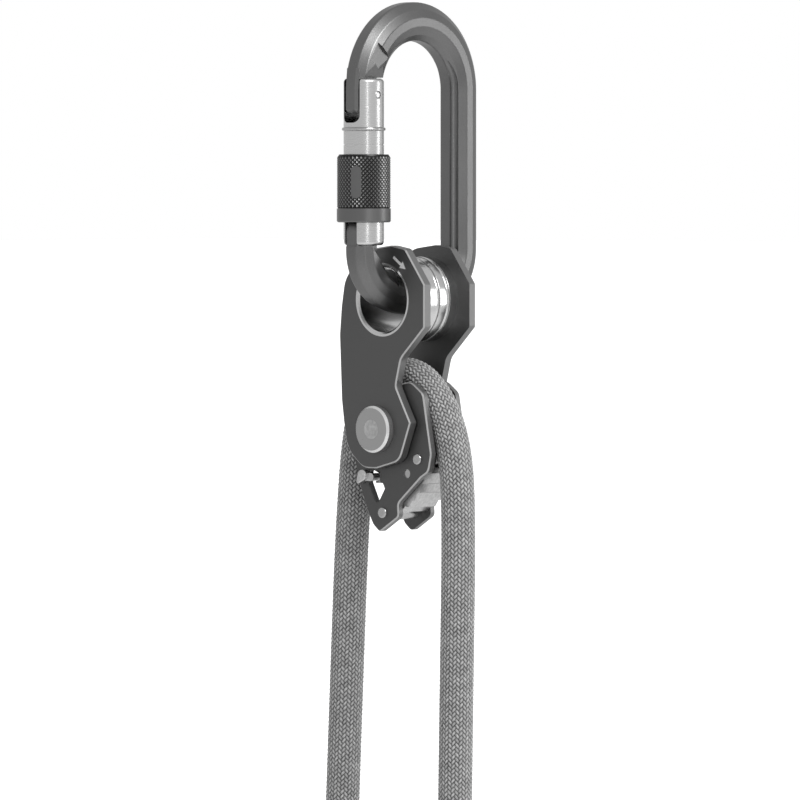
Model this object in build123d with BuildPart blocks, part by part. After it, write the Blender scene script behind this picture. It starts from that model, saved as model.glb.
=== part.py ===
from build123d import *
import math
import os

# Rope pulley with a toothed rope cam, hanging in a screw-gate carabiner,
# with a rope over its sheave. Millimetres, +Z up. The side plates lie
# parallel to XZ, the front plate faces -Y, and the carabiner's loop lies in
# the YZ plane, gate towards -Y. The origin is the carabiner's anchor seat,
# the top of the inside of its loop. Plate outlines are given as (right, up)
# from the sheave's axle.

# ---------------------------------------------------------------- fits
RUN_GAP = 0.05          # radial clearance of a pin that turns in its hole
SEAT_GAP = 0.03         # radial clearance of a fixed pin in its hole
SIDE_GAP = 0.2          # side clearance of a part that turns between plates
OPEN_GAP = 0.3          # clearance where two bodies pass or rest

# ---------------------------------------------------------------- carabiner
ROD_DEPTH = 12.3        # rod section, in the plane of the loop
ROD_WIDTH = 10.6        # rod section, across the loop
ROD_CROWN = 1.9         # half width of the rod's outer flat
ROD_OUTER = (1.1, 3.7)  # outer corner: inset from the side, outward of the middle
ROD_SIDE = (1.2, -1.6)  # the flat side's two edges, outward of the middle
ROD_INNER = (1.3, -4.2)  # inner corner: inset from the side, outward of the middle
ROD_FOOT = 2.1          # half width of the rod's inner flat
ROD_EDGE = 1.1          # rounding of the section's corners
FLUTE_R = 1.5           # flutes along the spine's two inner corners
FLUTE_DEPTH = 0.75
FLUTE_FADE_HIGH = (12.0, 55.0)  # radius and turn where a flute leaves the rod
FLUTE_FADE_LOW = (4.5, 60.0)
ARCH_R = 21.7           # top arch, to the rod's centreline
LOOP_Y = 1.5            # middle of the loop from the pulley's middle plane
GATE_Y = LOOP_Y - ARCH_R
SPINE_Y = LOOP_Y + ARCH_R
ARCH_Z = ROD_DEPTH / 2 - ARCH_R
LOWER_LEG = 1.457       # straight rod below the gate's end, before the corner
BOTTOM_R = 34.0         # gentle bottom bow that the eye hangs on
BOW_ANGLE = 25.0        # half the angle of the bottom bow

# ---------------------------------------------------------------- gate
GATE_R = 6.4
GATE_TOP = -12.2
GATE_LENGTH = 52.8
GATE_END = GATE_TOP - GATE_LENGTH
CORNER_R = (ARCH_R - BOTTOM_R * math.sin(math.radians(BOW_ANGLE))) / (
    1 - math.sin(math.radians(BOW_ANGLE))
)
CORNER_Z = GATE_END - LOWER_LEG
BOTTOM_Z = (
    CORNER_Z
    - BOTTOM_R * (1 - math.cos(math.radians(BOW_ANGLE)))
    - CORNER_R * math.cos(math.radians(BOW_ANGLE))
)
GATE_EDGE = 1.2         # rounding of the gate's two ends
HINGE_RISE = 8.8        # hinge axis above the gate's lower end
HINGE_Z = GATE_END + HINGE_RISE
HINGE_PIN_R = 1.4
NOSE_SHOULDER = GATE_TOP + OPEN_GAP
NOSE_WIDTH = 5.6
NOSE_LENGTH = 10.8      # nose tongue below the gate's top
NOSE_INNER = 3.0        # nose tongue towards the loop, from the gate's axis
NOSE_SLOT_WIDTH = NOSE_WIDTH + 2 * 0.65
NOSE_SLOT_LENGTH = NOSE_LENGTH + 3.2
NOSE_PIN_DROP = 5.2     # latch pin below the gate's top
NOSE_PIN_R = 1.2
NOSE_CORNER = 1.0
NOSE_BEVEL = 4.5
NOSE_LEAN = 0.55        # set-back of the nose's front inside the rod
NOSE_FRONT_EDGE = 0.9   # bevels beside the nose's front
NOSE_FLAT = 0.9         # depth of the milled flat over the nose's side
NOSE_FLAT_OUTLINE = [(1.9, 11.4), (6.7, 6.6), (2.1, 2.8), (-1.6, 5.9)]
NOTCH = 3.2             # mouth of the notch for the latch pin
NOTCH_DEPTH = 2.6       # notch's floor from the gate's axis, outward
NOTCH_SLANT = 0.9
TONGUE_WIDTH = 4.8      # hinge tongue of the body, across the loop
TONGUE_R = 4.2          # hinge tongue's round end
TONGUE_OUTER = GATE_R - 1.0  # tongue's outer edge from the gate's axis
TONGUE_FOOT = 1.0       # set-back of the tongue's inner edge below the gate
SHOULDER_CUT = 1.8      # where the slanted relief starts, from the gate's axis
RELIEF_ANGLE = 46.6
SPRING_BORE_R = 2.2
SPRING_BORE_LENGTH = 13.0
PUSHER_LENGTH = 4.4
GATE_WIRE = 0.7
PUSHER_EDGE = 0.8
LATCH_PIN_INSET = 0.1   # pin ends below the gate's surface
LATCH_PIN_EDGE = 0.5
HINGE_PIN_INSET = 0.2
HINGE_PIN_EDGE = 0.3
RING_DROP = 16.0        # snap ring below the gate's top
RING_WIRE_R = 0.55
LINE_DROP = 20.9        # turned marking line below the gate's top
LINE_DEPTH = 0.25
NOSE_PIN_Z = GATE_TOP - NOSE_PIN_DROP
RING_Z = GATE_TOP - RING_DROP

# ---------------------------------------------------------------- screw sleeve
SLEEVE_R = GATE_R + 2.17
SLEEVE_TOP_DROP = 24.0  # sleeve's top below the gate's top, unlocked
SLEEVE_LENGTH = 21.5
SLEEVE_BORE_GAP = 0.1   # thread crest over the gate
SLEEVE_RELIEF = 0.15    # clearance of the upper bore over the ring and nose
SLEEVE_THREAD_LENGTH = 10.0
THREAD_RUNOUT = 0.5
SLEEVE_EDGE = 0.7

# ---------------------------------------------------------------- side plates
ROPE_R = 5.5
CHEEK = 2.2
CHEEK_IN = ROPE_R + 0.8
CHEEK_OUT = CHEEK_IN + CHEEK
SPACER = 0.4
PLATE = 3.0
PLATE_IN = CHEEK_OUT + SPACER
PLATE_OUT = PLATE_IN + PLATE
PLATE_CHAMFER = 0.4
EYE_BORE_R = 10.4
EYE_FLARE = 0.6
EYE_SEAT = 3.1          # top of the eye's bore above the rod, inside its bow
EYE_Z = BOTTOM_Z + ROD_DEPTH / 2 + EYE_SEAT - EYE_BORE_R
EYE = (2.5, 41.2)       # centre of the eye from the axle
AXLE_X = -EYE[0]
AXLE_Z = EYE_Z - EYE[1]
# The plate's head from the eye's centre, and its lower part from the axle.
PLATE_HEAD_LEFT = [
    (10.1, 16.2), (3.9, 17.3), (-6.5, 16.0), (-13.9, 10.0), (-17.0, 5.8),
    (-18.4, -2.4),
]
PLATE_BODY = [
    (-16.7, 29.9), (-15.8, 9.1), (-14.8, 1.9), (-12.7, -7.0), (-6.2, -12.4),
    (-0.3, -12.5), (10.0, -9.9), (14.8, 2.3), (8.3, 13.8), (10.6, 22.6),
]
PLATE_HEAD_RIGHT = [(18.5, -8.7), (18.5, 5.0)]
PLATE_CORNERS = [2, 6, 9, 7, 9, 9, 9, 9, 9, 9, 6, 6, 5, 0.8, 3, 5, 1.2, 1.2]

# ---------------------------------------------------------------- eye spool
COLLAR_R = EYE_BORE_R + 1.3
SPOOL_R = COLLAR_R + 1.9
SPOOL_RIDGES = 4
SPOOL_VALLEY = 0.8

# ---------------------------------------------------------------- axle, sheave
AXLE_R = 4.0
AXLE_END_R = AXLE_R - 0.85
AXLE_WASHER_R = AXLE_R + 3.45
AXLE_WASHER = 2.5
WASHER_BEVEL = 0.7
SPACER_R = AXLE_R + 2.0
BUSH_R = AXLE_R + 1.5
SHEAVE_R = 14.9
GROOVE_R = ROPE_R + OPEN_GAP
GROOVE_DEPTH = 3.4
ROPE_PITCH_R = SHEAVE_R - GROOVE_DEPTH + GROOVE_R  # centreline over the sheave

# ---------------------------------------------------------------- cheeks
CHEEK_OUTLINE = [
    (11.7, 15.4), (17.2, 11.5), (20.8, -7.7), (19.5, -13.2), (16.2, -15.1),
    (6.1, -23.6), (6.5, -27.8), (-2.1, -33.0), (-5.1, -30.5), (-7.5, -26.3),
    (-11.2, -17.4), (-13.4, -9.6), (-13.0, 4.0), (0.0, 13.0),
]
CHEEK_CORNERS = [4.5, 3, 6, 3, 2, 2.5, 2, 1.8, 3, 6, 6, 6, 8, 8]
WINDOW = [
    (-6.7, -13.3), (-1.9, -13.3), (-1.9, -16.9), (-0.5, -17.3), (0.4, -19.0),
    (-2.5, -23.5), (-3.8, -23.5), (-6.9, -17.3),
]
WINDOW_CORNER = 0.6
CAM_PIVOT = (14.9, -9.3)
STOP_PIN = (10.1, -14.0)
LOWER_RIVET = (-0.5, -26.7)
RIVET_R = 1.3
RIVET_HEAD_R = RIVET_R + 0.5
RIVET_HEAD = 0.8
RIVET_RIM = 0.15        # straight rim left under the head's dome
STOP_PIN_R = 1.45
LOWER_SPACER_R = RIVET_R + 1.0

# ---------------------------------------------------------------- toothed cam
CAM_BOSS_R = RIVET_R + 0.8
CAM_NECK = (0.6, 4.6)   # the cam's back from the boss's side, in and down
CAM_TURN = 14.0         # travel that the stud's window allows, degrees
CAM_CLEAR = (-0.24, 1.2)  # shares of that travel kept clear of the stop pin
CAM_CLEAR_STEPS = 6
CAM_FOOT = [(3.2, -25.4), (1.2, -20.0), (0.2, -17.4), (-5.9, -17.4), (-5.9, -15.9)]
TOOTH_TIPS = [(14.8, -17.0), (13.5, -20.0), (11.2, -22.7), (8.6, -24.8), (5.0, -26.4)]
TOOTH_DEPTH = 1.3
TOOTH_GULLET = 0.45     # gullet's place between two tips, as a share
FORK_EDGE = 1.2         # width of the fork's slot past the boss
SPRING_GAP = 4.8        # gap in the cam's boss that the torsion spring fills
CAM_WIRE = 0.7
STUD_STEM = (-4.4, -15.4)
STUD_STEM_R = 1.25
STUD_WEB = 1.3
STUD_ROOT = 1.0         # how far the stem reaches into the cam
STUD_HEAD = [(-5.7, -12.9), (-6.0, -16.2), (-9.4, -17.7), (-10.0, -16.9), (-9.0, -13.2)]
STUD_CORNERS = [1.3, 1.3, 0.5, 0.5, 1.6]
STUD_HEIGHT = 2.4
STUD_EDGE = 0.5

# ---------------------------------------------------------------- rope
# Centreline as (right, up) from the axle, from the left end to the right end.
ROPE_ROUTE = [
    (-27.9, -142.0), (-26.3, -108.0), (-24.6, -72.0), (-23.1, -42.0),
    (-21.5, -21.0), (-19.9, -6.0), (-16.7, 8.1), (-6.9, 17.2), (6.4, 17.4),
    (14.9, 10.3), (20.2, 1.8), (23.3, -8.4), (24.5, -20.5), (24.7, -40.0),
    (24.2, -66.0), (23.5, -101.5), (22.9, -137.0),
]
END_SLEEVE_R = 5.9
END_SLEEVE_LENGTH = 16.0
END_CAP = 1.2


def loop_plane(x=0.0):
    """Plane of the carabiner's loop, sketched as (Y, Z), facing +X."""
    return Plane(origin=(x, 0, 0), x_dir=(0, 1, 0), z_dir=(1, 0, 0))


def axle_plane(y):
    """Plane parallel to the side plates, sketched from the axle, facing -Y."""
    return Plane(origin=(AXLE_X, y, AXLE_Z), x_dir=(1, 0, 0), z_dir=(0, -1, 0))


def across_axle():
    """Half-plane through the axle, sketched as (radius, Y), for revolved parts."""
    return Plane(origin=(AXLE_X, 0, AXLE_Z), x_dir=(1, 0, 0), z_dir=(0, 0, 1))


def across_eye():
    """Half-plane through the eye's axis, sketched as (radius, Y)."""
    return Plane(origin=(0, 0, EYE_Z), x_dir=(1, 0, 0), z_dir=(0, 0, 1))


def along_gate():
    """Half-plane through the gate's axis, sketched as (radius, Z)."""
    return Plane(origin=(0, GATE_Y, 0), x_dir=(1, 0, 0), z_dir=(0, -1, 0))


AXLE_AXIS = Axis((AXLE_X, 0, AXLE_Z), (0, 1, 0))
EYE_AXIS = Axis((0, 0, EYE_Z), (0, 1, 0))
GATE_AXIS = Axis((0, GATE_Y, 0), (0, 0, 1))


def away(point, centre, distance):
    """The point moved by distance straight away from the centre."""
    right, up = point[0] - centre[0], point[1] - centre[1]
    share = 1 + distance / math.hypot(right, up)
    return (centre[0] + right * share, centre[1] + up * share)


def rounded_face(points, radii):
    """A closed outline with its own radius at each corner, made a face."""
    corners = [Vector(*p) for p in points]
    edges, last = [], None
    first = None
    for i, corner in enumerate(corners):
        before = (corners[i - 1] - corner).normalized()
        after = (corners[(i + 1) % len(corners)] - corner).normalized()
        half = before.get_angle(after) * math.pi / 360
        reach = min(
            radii[i] / math.tan(half),
            0.45 * (corners[i - 1] - corner).length,
            0.45 * (corners[(i + 1) % len(corners)] - corner).length,
        )
        start, end = corner + before * reach, corner + after * reach
        middle = corner + (before + after).normalized() * (
            reach / math.cos(half) - reach * math.tan(half)
        )
        if last is not None:
            edges.append(Edge.make_line(last, start))
        if first is None:
            first = start
        edges.append(Edge.make_three_point_arc(start, middle, end))
        last = end
    edges.append(Edge.make_line(last, first))
    return Face(Wire(edges))


def finish(part, name):
    """Names a finished piece and writes it."""
    part.label = name
    export_step(part, f"parts/{name}.step")


os.makedirs("parts", exist_ok=True)

# ---------------------------------------------------------------- carabiner body
half_width, half_depth = ROD_WIDTH / 2, ROD_DEPTH / 2
rod_right = [
    (ROD_CROWN, half_depth),
    (half_width - ROD_OUTER[0], ROD_OUTER[1]),
    (half_width, ROD_SIDE[0]),
    (half_width, ROD_SIDE[1]),
    (half_width - ROD_INNER[0], ROD_INNER[1]),
    (ROD_FOOT, -half_depth),
]
rod_left = [(-x, y) for x, y in reversed(rod_right)]
LOW_SHOULDER = GATE_END - OPEN_GAP

# Nose tongue, down into the gate's slot.
nose_top = NOSE_SHOULDER + NOSE_INNER
nose_foot = GATE_TOP - NOSE_LENGTH
with BuildPart() as nose_tongue:
    with BuildSketch(loop_plane()):
        with BuildLine():
            Polyline(
                (GATE_Y - ROD_DEPTH / 2 + NOSE_LEAN, nose_top),
                (GATE_Y - ROD_DEPTH / 2, ARCH_Z),
                (GATE_Y - ROD_DEPTH / 2, nose_foot + NOSE_CORNER),
                (GATE_Y - ROD_DEPTH / 2 + NOSE_CORNER, nose_foot),
                (GATE_Y + NOSE_INNER, nose_foot),
                (GATE_Y + NOSE_INNER, nose_top),
                close=True,
            )
        make_face()
    extrude(amount=NOSE_WIDTH / 2, both=True)
    front = GATE_Y - ROD_DEPTH / 2 + NOSE_LEAN
    beside = nose_tongue.edges().filter_by(lambda e: abs(e.center().X) > NOSE_WIDTH / 2.1)
    chamfer(beside.filter_by(lambda e: e.center().Y < front), length=NOSE_FRONT_EDGE)

with BuildPart() as carabiner_body:
    with BuildLine(Plane.YZ) as loop_line:
        down = Line((GATE_Y, LOW_SHOULDER), (GATE_Y, CORNER_Z))
        corner_1 = JernArc(down @ 1, down % 1, CORNER_R, 90 - BOW_ANGLE)
        bow = JernArc(corner_1 @ 1, corner_1 % 1, BOTTOM_R, 2 * BOW_ANGLE)
        corner_2 = JernArc(bow @ 1, bow % 1, CORNER_R, 90 - BOW_ANGLE)
        spine = Line(corner_2 @ 1, (SPINE_Y, ARCH_Z))
        arch = JernArc(spine @ 1, spine % 1, ARCH_R, 180)
    rod_start = Plane(
        origin=(0, GATE_Y, LOW_SHOULDER), x_dir=(1, 0, 0), z_dir=(0, 0, -1)
    )
    with BuildSketch(rod_start) as rod_section:
        with BuildLine():
            Polyline(*rod_right, *rod_left, close=True)
        make_face()
        fillet(rod_section.vertices(), radius=ROD_EDGE)
    sweep()
    # Flutes along the spine's inner corners, which leave the rod where it bends.
    corner_in = Vector(half_width - ROD_INNER[0], ROD_INNER[1])
    foot = Vector(ROD_FOOT, -half_depth)
    outward = (corner_in - foot).normalized().rotate(Axis.Z, -90)
    flute = (corner_in + foot) / 2 + outward * (FLUTE_R - FLUTE_DEPTH)
    flute_y = SPINE_Y + flute.Y
    for side in (1, -1):
        for start, end, (fade_r, fade_turn), turn in (
            (CORNER_Z, ARCH_Z, FLUTE_FADE_HIGH, 1),
            (ARCH_Z, CORNER_Z, FLUTE_FADE_LOW, -1),
        ):
            with BuildLine(loop_plane(side * flute.X)) as flute_line:
                run = Line((flute_y, start), (flute_y, end))
                JernArc(run @ 1, run % 1, fade_r, turn * fade_turn)
            with BuildSketch(
                Plane(
                    origin=(side * flute.X, flute_y, start), x_dir=(1, 0, 0),
                    z_dir=(0, 0, turn),
                )
            ):
                Circle(FLUTE_R)
            sweep(mode=Mode.SUBTRACT)
    # The arch ends at the nose's shoulder, just over the gate.
    with BuildSketch(loop_plane()):
        with Locations((GATE_Y, NOSE_SHOULDER)):
            Rectangle(2 * ROD_DEPTH, ROD_DEPTH, align=(Align.CENTER, Align.MAX))
    extrude(amount=ROD_WIDTH, both=True, mode=Mode.SUBTRACT)
    # Side bevels over the nose.
    with BuildSketch(Plane.XZ.offset(-LOOP_Y)):
        for side in (1, -1):
            with BuildLine():
                Polyline(
                    (side * ROD_WIDTH / 2, NOSE_SHOULDER + NOSE_BEVEL),
                    (side * ROD_WIDTH, NOSE_SHOULDER + NOSE_BEVEL),
                    (side * ROD_WIDTH, NOSE_SHOULDER),
                    (side * (ROD_WIDTH / 2 - NOSE_BEVEL / 3), NOSE_SHOULDER),
                    close=True,
                )
            make_face()
    extrude(amount=ARCH_R + ROD_DEPTH, mode=Mode.SUBTRACT)
    # Milled flats over the nose, on both sides of the arch.
    for side in (1, -1):
        with BuildSketch(loop_plane(side * (ROD_WIDTH / 2 - NOSE_FLAT))):
            with BuildLine():
                Polyline(
                    *[(GATE_Y + y, GATE_TOP + z) for y, z in NOSE_FLAT_OUTLINE],
                    close=True,
                )
            make_face()
        extrude(amount=side * ROD_WIDTH / 2, mode=Mode.SUBTRACT)
    # The rod is slanted under the gate, so that the gate's foot can swing down.
    relief = math.tan(math.radians(RELIEF_ANGLE))
    with BuildSketch(loop_plane()):
        with BuildLine():
            Polyline(
                (GATE_Y - SHOULDER_CUT, LOW_SHOULDER + OPEN_GAP),
                (GATE_Y - SHOULDER_CUT, LOW_SHOULDER),
                (GATE_Y - SHOULDER_CUT + ROD_DEPTH, LOW_SHOULDER - relief * ROD_DEPTH),
                (GATE_Y - SHOULDER_CUT + ROD_DEPTH, LOW_SHOULDER + OPEN_GAP),
                close=True,
            )
        make_face()
    extrude(amount=ROD_WIDTH, both=True, mode=Mode.SUBTRACT)
    # Hinge tongue, up into the gate's foot.
    with BuildSketch(loop_plane()):
        with Locations((GATE_Y, HINGE_Z)):
            Circle(TONGUE_R)
        with BuildLine():
            Polyline(
                (GATE_Y - TONGUE_R, HINGE_Z),
                (GATE_Y - TONGUE_OUTER, HINGE_Z - TONGUE_R),
                (GATE_Y - TONGUE_OUTER, LOW_SHOULDER - TONGUE_R),
                (GATE_Y + TONGUE_R - TONGUE_FOOT, LOW_SHOULDER - TONGUE_R * relief),
                (GATE_Y + TONGUE_R, HINGE_Z),
                close=True,
            )
        make_face()
        with Locations((GATE_Y, HINGE_Z)):
            Circle(HINGE_PIN_R + RUN_GAP, mode=Mode.SUBTRACT)
    extrude(amount=TONGUE_WIDTH / 2, both=True)
    # The nose, with the notch for the latch pin.
    add(nose_tongue.part)
    with BuildSketch(loop_plane()):
        with BuildLine():
            Polyline(
                (GATE_Y - NOTCH_DEPTH, NOSE_PIN_Z + NOTCH / 2),
                (GATE_Y - NOTCH_DEPTH, NOSE_PIN_Z - NOTCH / 2),
                (GATE_Y + NOTCH, NOSE_PIN_Z - NOTCH / 2 - NOTCH_SLANT),
                (GATE_Y + NOTCH, NOSE_PIN_Z + NOTCH / 2),
                close=True,
            )
        make_face()
    extrude(amount=NOSE_WIDTH, both=True, mode=Mode.SUBTRACT)
finish(carabiner_body.part, "carabiner_body")

# ---------------------------------------------------------------- gate
with BuildPart() as gate:
    with BuildSketch(Plane.XY.offset(GATE_END)):
        with Locations((0, GATE_Y)):
            Circle(GATE_R)
    extrude(amount=GATE_LENGTH)
    fillet(gate.edges().filter_by(GeomType.CIRCLE), radius=GATE_EDGE)
    # Slot for the nose, open at the top and at the front.
    with BuildSketch(Plane.XZ.offset(-(GATE_Y + NOSE_INNER + OPEN_GAP))):
        with Locations((0, GATE_TOP - NOSE_SLOT_LENGTH)):
            RectangleRounded(
                NOSE_SLOT_WIDTH, 2 * NOSE_SLOT_LENGTH, NOSE_SLOT_WIDTH / 3,
                align=(Align.CENTER, Align.MIN),
            )
    extrude(amount=2 * GATE_R, mode=Mode.SUBTRACT)
    # Slot for the hinge tongue, right through the gate's foot.
    with BuildSketch(Plane.XZ.offset(-(GATE_Y + GATE_R))):
        with Locations((0, HINGE_Z + TONGUE_R + OPEN_GAP)):
            Rectangle(
                TONGUE_WIDTH + 2 * SIDE_GAP, GATE_LENGTH, align=(Align.CENTER, Align.MAX)
            )
    extrude(amount=2 * GATE_R, mode=Mode.SUBTRACT)
    # Bore for the closing spring and its pusher.
    with BuildSketch(Plane.XY.offset(HINGE_Z + TONGUE_R)):
        with Locations((0, GATE_Y)):
            Circle(SPRING_BORE_R)
    extrude(amount=SPRING_BORE_LENGTH, mode=Mode.SUBTRACT)
    # Holes for the latch pin and the hinge pin.
    with BuildSketch(loop_plane()):
        with Locations((GATE_Y, NOSE_PIN_Z)):
            Circle(NOSE_PIN_R + SEAT_GAP)
        with Locations((GATE_Y, HINGE_Z)):
            Circle(HINGE_PIN_R + RUN_GAP)
    extrude(amount=GATE_R, both=True, mode=Mode.SUBTRACT)
    # Groove of the snap ring, and the turned marking line.
    with BuildSketch(along_gate()):
        with Locations((GATE_R, RING_Z)):
            Circle(RING_WIRE_R + RUN_GAP)
        with Locations((GATE_R, GATE_TOP - LINE_DROP)):
            Rectangle(2 * LINE_DEPTH, LINE_DEPTH)
    revolve(axis=GATE_AXIS, mode=Mode.SUBTRACT)
finish(gate.part, "gate")

with BuildPart() as gate_snap_ring:
    with BuildSketch(along_gate()):
        with Locations((GATE_R, RING_Z)):
            Circle(RING_WIRE_R)
    revolve(axis=GATE_AXIS)
finish(gate_snap_ring.part, "gate_snap_ring")

with BuildPart() as gate_latch_pin:
    with BuildSketch(loop_plane()):
        with Locations((GATE_Y, NOSE_PIN_Z)):
            Circle(NOSE_PIN_R)
    extrude(amount=GATE_R - LATCH_PIN_INSET, both=True)
    fillet(gate_latch_pin.edges().filter_by(GeomType.CIRCLE), radius=LATCH_PIN_EDGE)
finish(gate_latch_pin.part, "gate_latch_pin")

with BuildPart() as gate_hinge_pin:
    with BuildSketch(loop_plane()):
        with Locations((GATE_Y, HINGE_Z)):
            Circle(HINGE_PIN_R)
    extrude(amount=GATE_R - HINGE_PIN_INSET, both=True)
    chamfer(gate_hinge_pin.edges().filter_by(GeomType.CIRCLE), length=HINGE_PIN_EDGE)
finish(gate_hinge_pin.part, "gate_hinge_pin")

# Pusher and closing spring inside the gate, on the tongue's round end.
PUSHER_Z = HINGE_Z + TONGUE_R + SIDE_GAP
with BuildPart() as gate_pusher:
    with BuildSketch(Plane.XY.offset(PUSHER_Z)):
        with Locations((0, GATE_Y)):
            Circle(SPRING_BORE_R - RUN_GAP)
    extrude(amount=PUSHER_LENGTH)
    pusher_rim = gate_pusher.edges().filter_by(GeomType.CIRCLE).sort_by(Axis.Z)[0]
    fillet(pusher_rim, radius=PUSHER_EDGE)
finish(gate_pusher.part, "gate_pusher")

spring_low = PUSHER_Z + PUSHER_LENGTH + GATE_WIRE / 2
spring_high = HINGE_Z + TONGUE_R + SPRING_BORE_LENGTH - GATE_WIRE / 2 - SEAT_GAP
spring_r = SPRING_BORE_R - GATE_WIRE / 2 - SIDE_GAP
with BuildPart() as gate_spring:
    with BuildLine():
        coil = Helix(
            pitch=2 * GATE_WIRE, height=spring_high - spring_low, radius=spring_r,
            center=(0, GATE_Y, spring_low),
        )
    with BuildSketch(Plane(origin=coil @ 0, x_dir=(1, 0, 0), z_dir=coil % 0)):
        Circle(GATE_WIRE / 2)
    sweep(is_frenet=True)
finish(gate_spring.part, "gate_spring")

# ---------------------------------------------------------------- screw sleeve
SLEEVE_TOP = GATE_TOP - SLEEVE_TOP_DROP
sleeve_low = SLEEVE_TOP - SLEEVE_LENGTH
sleeve_bore = GATE_R + SLEEVE_BORE_GAP
nose_reach = math.hypot(NOSE_WIDTH, ROD_DEPTH) / 2 + SLEEVE_RELIEF
sleeve_relief = max(GATE_R + RING_WIRE_R, nose_reach) + SLEEVE_RELIEF
with BuildPart() as screw_sleeve:
    with BuildSketch(along_gate()):
        with BuildLine():
            Polyline(
                (sleeve_bore, sleeve_low),
                (SLEEVE_R - SLEEVE_EDGE, sleeve_low),
                (SLEEVE_R, sleeve_low + SLEEVE_EDGE),
                (SLEEVE_R, SLEEVE_TOP - SLEEVE_EDGE),
                (SLEEVE_R - SLEEVE_EDGE, SLEEVE_TOP),
                (sleeve_relief, SLEEVE_TOP),
                (sleeve_relief, sleeve_low + SLEEVE_THREAD_LENGTH),
                (sleeve_bore, sleeve_low + SLEEVE_THREAD_LENGTH - THREAD_RUNOUT),
                close=True,
            )
        make_face()
    revolve(axis=GATE_AXIS)
finish(screw_sleeve.part, "screw_sleeve")

# ---------------------------------------------------------------- side plates
plate_outline = [
    *[(EYE[0] + x, EYE[1] + z) for x, z in PLATE_HEAD_LEFT],
    *PLATE_BODY,
    *[(EYE[0] + x, EYE[1] + z) for x, z in PLATE_HEAD_RIGHT],
]
plate_face = rounded_face(plate_outline, PLATE_CORNERS)
for name, low in (("front_side_plate", -PLATE_OUT), ("back_side_plate", PLATE_IN)):
    with BuildPart() as side_plate:
        with BuildSketch(axle_plane(low + PLATE)):
            add(plate_face)
        extrude(amount=PLATE)
        outer = side_plate.faces().sort_by(Axis.Y)[0 if low < 0 else -1]
        chamfer(outer.edges(), length=PLATE_CHAMFER)
        with BuildSketch(axle_plane(low + PLATE)):
            Circle(AXLE_R + SEAT_GAP)
            with Locations(EYE):
                Circle(COLLAR_R + SEAT_GAP)
        extrude(amount=PLATE, mode=Mode.SUBTRACT)
    finish(side_plate.part, name)

# ---------------------------------------------------------------- eye spool
with BuildPart() as eye_spool:
    with BuildSketch(across_eye()):
        with BuildLine():
            Polyline(
                (EYE_BORE_R, -PLATE_OUT + EYE_FLARE),
                (EYE_BORE_R + EYE_FLARE, -PLATE_OUT),
                (COLLAR_R, -PLATE_OUT),
                (COLLAR_R, -PLATE_IN),
                (SPOOL_R, -PLATE_IN),
                (SPOOL_R, PLATE_IN),
                (COLLAR_R, PLATE_IN),
                (COLLAR_R, PLATE_OUT),
                (EYE_BORE_R + EYE_FLARE, PLATE_OUT),
                (EYE_BORE_R, PLATE_OUT - EYE_FLARE),
                close=True,
            )
        make_face()
        ridge = 2 * PLATE_IN / SPOOL_RIDGES
        for k in range(1, SPOOL_RIDGES):
            with Locations((SPOOL_R, -PLATE_IN + ridge * k)):
                Circle(SPOOL_VALLEY, mode=Mode.SUBTRACT)
    revolve(axis=EYE_AXIS)
finish(eye_spool.part, "eye_spool")

# ---------------------------------------------------------------- axle and washers
with BuildPart() as sheave_axle:
    with BuildSketch(across_axle()):
        with BuildLine():
            Polyline(
                (0, -PLATE_OUT - AXLE_WASHER),
                (AXLE_END_R, -PLATE_OUT - AXLE_WASHER),
                (AXLE_END_R, -PLATE_OUT),
                (AXLE_R, -PLATE_OUT),
                (AXLE_R, PLATE_OUT),
                (AXLE_END_R, PLATE_OUT),
                (AXLE_END_R, PLATE_OUT + AXLE_WASHER),
                (0, PLATE_OUT + AXLE_WASHER),
                close=True,
            )
        make_face()
    revolve(axis=AXLE_AXIS)
finish(sheave_axle.part, "sheave_axle")

for name, side in (("front_axle_washer", -1), ("back_axle_washer", 1)):
    with BuildPart() as axle_washer:
        with BuildSketch(across_axle()):
            with BuildLine():
                Polyline(
                    (AXLE_END_R + SEAT_GAP, side * PLATE_OUT),
                    (AXLE_WASHER_R, side * PLATE_OUT),
                    (AXLE_WASHER_R, side * (PLATE_OUT + AXLE_WASHER - WASHER_BEVEL)),
                    (AXLE_WASHER_R - WASHER_BEVEL, side * (PLATE_OUT + AXLE_WASHER)),
                    (AXLE_END_R + SEAT_GAP, side * (PLATE_OUT + AXLE_WASHER)),
                    close=True,
                )
            make_face()
        revolve(axis=AXLE_AXIS)
    finish(axle_washer.part, name)

for name, low in (
    ("front_spacer_washer", -PLATE_IN), ("back_spacer_washer", CHEEK_OUT)
):
    with BuildPart() as spacer_washer:
        with BuildSketch(axle_plane(low + SPACER)):
            Circle(SPACER_R)
            Circle(AXLE_R + SEAT_GAP, mode=Mode.SUBTRACT)
        extrude(amount=SPACER)
    finish(spacer_washer.part, name)

# ---------------------------------------------------------------- sheave
SHEAVE_HALF = CHEEK_IN - SIDE_GAP
with BuildPart() as sheave:
    with BuildSketch(across_axle()):
        with Locations(((BUSH_R + SHEAVE_R) / 2, 0)):
            Rectangle(SHEAVE_R - BUSH_R, 2 * SHEAVE_HALF)
        with Locations((ROPE_PITCH_R, 0)):
            Circle(GROOVE_R, mode=Mode.SUBTRACT)
    revolve(axis=AXLE_AXIS)
finish(sheave.part, "sheave")

with BuildPart() as sheave_bush:
    with BuildSketch(axle_plane(SHEAVE_HALF)):
        Circle(BUSH_R - SEAT_GAP)
        Circle(AXLE_R + RUN_GAP, mode=Mode.SUBTRACT)
    extrude(amount=2 * SHEAVE_HALF)
finish(sheave_bush.part, "sheave_bush")

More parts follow.
